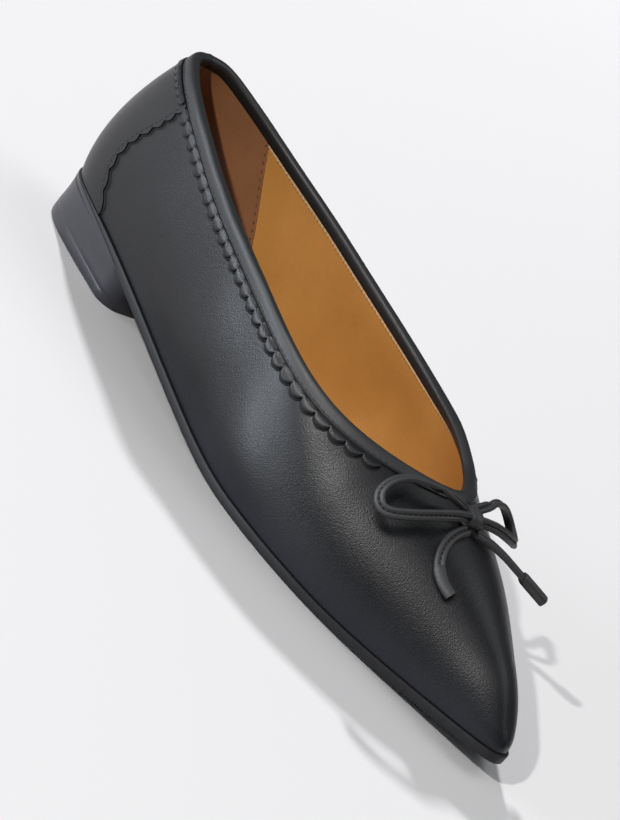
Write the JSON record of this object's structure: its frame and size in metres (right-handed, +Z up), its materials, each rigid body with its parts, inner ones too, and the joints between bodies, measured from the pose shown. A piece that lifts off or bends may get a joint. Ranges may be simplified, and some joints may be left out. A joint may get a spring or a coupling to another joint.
{
  "type": "ballet flat",
  "caption": "Pointed-toe ballet flat in black leather with a scalloped collar trim, a small lace bow on the vamp, a thin sole and a low heel block.",
  "frame": {"origin": "middle of the shoe's bounding box, on the floor that it stands on", "axes": "+X from the heel to the toe, +Y to the inner side of the foot, +Z up"},
  "size_m": [0.2578, 0.0818, 0.0665],
  "materials": {
    "black_leather": "smooth black calf leather with a fine soft grain",
    "lace_leather": "satin black leather lace",
    "sole_leather": "satin black edge",
    "heel_stack": "satin black stacked leather",
    "tan_leather": "satin tan lining leather"
  },
  "bodies": {
    "root": {"outsole": "sole_leather", "heel": "heel_stack", "insole": "tan_leather", "upper": "black_leather", "heel_counter": "black_leather", "topline_trim_lateral": "black_leather", "topline_trim_medial": "black_leather", "topline_binding": "black_leather", "bow_knot": "lace_leather", "bow_loop_lateral": "lace_leather", "bow_loop_medial": "lace_leather", "bow_tail_lateral": "lace_leather", "bow_tail_medial": "lace_leather"}
  },
  "joints": []
}
